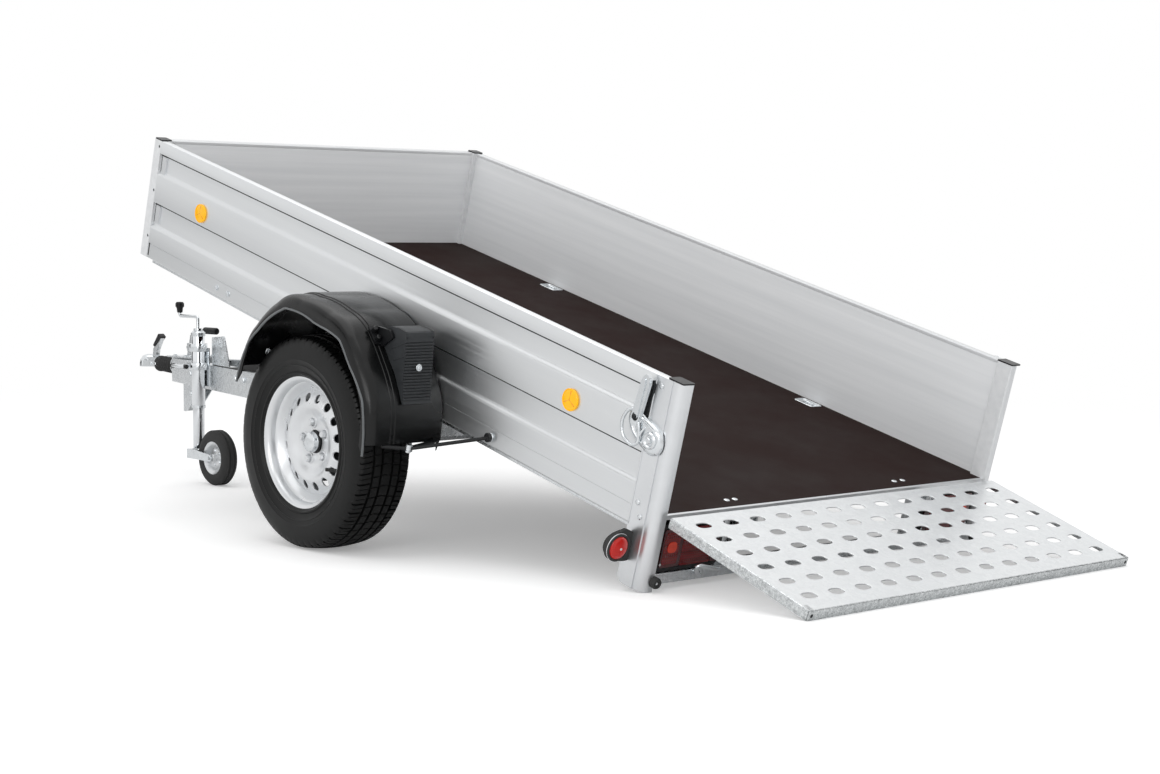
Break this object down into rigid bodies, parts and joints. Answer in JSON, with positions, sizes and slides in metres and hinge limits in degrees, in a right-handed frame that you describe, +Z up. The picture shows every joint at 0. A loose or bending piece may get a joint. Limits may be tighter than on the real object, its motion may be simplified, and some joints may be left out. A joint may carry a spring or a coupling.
{
  "type": "tilting single-axle box trailer",
  "caption": "Box trailer with a bed that tilts back on its axle, flat side walls, a fold-down perforated ramp, V drawbar, ball coupling and jockey wheel.",
  "frame": {"origin": "on the ground, half way along the whole trailer and on its centre line", "axes": "+X forward to the coupling, +Y to the trailer's left, +Z up; the bed is at rest tipped back with its ramp on the ground"},
  "size_m": [4.1328, 1.874, 1.223],
  "materials": {
    "wall_aluminium": "anodised extruded panels, pale satin with fine streaks",
    "post_aluminium": "anodised posts, satin",
    "plywood": "dark brown film-faced plywood",
    "galvanised_steel": "hot-dip galvanised, faint spangle",
    "ramp_steel": "hot-dip galvanised plate with mottled edges",
    "bright_zinc": "bright zinc plate",
    "black_plastic": "black moulded plastic, satin",
    "chock_plastic": "dark grey moulded plastic",
    "black_rubber": "black rubber",
    "road_tyre": "road tyre rubber",
    "rim_silver": "silver wheel paint",
    "drum_iron": "grey coated iron",
    "red_lens": "red lens in a black housing",
    "amber_lens": "amber reflector"
  },
  "bodies": {
    "chassis": {"drawbar_arm_left": "galvanised_steel", "drawbar_arm_right": "galvanised_steel", "chassis_ties": "galvanised_steel", "axle_beam": "galvanised_steel", "swing_arm_left": "galvanised_steel", "swing_arm_right": "galvanised_steel", "overrun_housing": "galvanised_steel", "coupling_head": "bright_zinc", "coupling_lever": "bright_zinc", "bellows": "black_rubber", "handbrake_lever": "bright_zinc", "handbrake_grip": "black_plastic", "skid_plate": "galvanised_steel", "brake_rod": "galvanised_steel", "stop_brackets": "galvanised_steel", "rest_pads": "black_rubber", "jockey_clamp": "bright_zinc", "jockey_outer_tube": "bright_zinc", "jockey_crank": "bright_zinc", "jockey_crank_grip": "black_plastic"},
    "bed": {"bed_rails": "galvanised_steel", "crossmembers": "galvanised_steel", "feet_buffers": "black_rubber", "floor_panel": "plywood", "front_posts": "post_aluminium", "front_wall": "wall_aluminium", "guard_stays": "black_plastic", "lamp_cluster_left": "red_lens", "lamp_cluster_right": "red_lens", "lashing_rings": "bright_zinc", "light_bar": "galvanised_steel", "mudguard_left": "black_plastic", "mudguard_right": "black_plastic", "outline_lamp_left": "red_lens", "outline_lamp_right": "red_lens", "post_caps": "black_plastic", "post_latch_left": "bright_zinc", "post_latch_right": "bright_zinc", "ramp_brackets": "galvanised_steel", "ramp_hooks": "galvanised_steel", "rear_post_left": "post_aluminium", "rear_post_right": "post_aluminium", "rear_sill": "post_aluminium", "side_reflectors": "amber_lens", "side_wall_left": "wall_aluminium", "side_wall_right": "wall_aluminium", "tilt_ears": "galvanised_steel", "wheel_chocks": "chock_plastic"},
    "ramp": {"ramp_panel": "ramp_steel"},
    "wheel_left": {"tyre_left": "road_tyre", "rim_left": "rim_silver", "hub_left": "drum_iron"},
    "wheel_right": {"tyre_right": "road_tyre", "rim_right": "rim_silver", "hub_right": "drum_iron"},
    "jockey_slide": {"jockey_leg": "bright_zinc"},
    "jockey_swivel": {"jockey_fork": "bright_zinc"},
    "jockey_roller": {"jockey_tyre": "black_rubber", "jockey_rim": "rim_silver"}
  },
  "joints": [
    {"name": "bed_tilt", "type": "hinge", "parent": "chassis", "child": "bed", "pos_m": [-0.38157, 0, 0.3], "axis": [0, 1, 0], "range_deg": [0, 15.48]},
    {"name": "ramp_fold", "type": "hinge", "parent": "bed", "child": "ramp", "pos_m": [-1.60865, 0, 0.18], "axis": [0, 1, 0], "range_deg": [0, 95]},
    {"name": "wheel_left_spin", "type": "hinge", "parent": "chassis", "child": "wheel_left", "pos_m": [-0.33657, 0.812, 0.308], "axis": [0, 1, 0], "continuous": true},
    {"name": "wheel_right_spin", "type": "hinge", "parent": "chassis", "child": "wheel_right", "pos_m": [-0.33657, -0.812, 0.308], "axis": [0, 1, 0], "continuous": true},
    {"name": "jockey_lift", "type": "slide", "parent": "chassis", "child": "jockey_slide", "axis": [0, 0, 1], "range_m": [-0.06, 0.12]},
    {"name": "jockey_turn", "type": "hinge", "parent": "jockey_slide", "child": "jockey_swivel", "pos_m": [1.31843, 0.212, 0.124], "axis": [0, 0, 1], "continuous": true},
    {"name": "jockey_roll", "type": "hinge", "parent": "jockey_swivel", "child": "jockey_roller", "pos_m": [1.19143, 0.212, 0.1], "axis": [0, 1, 0], "continuous": true}
  ]
}
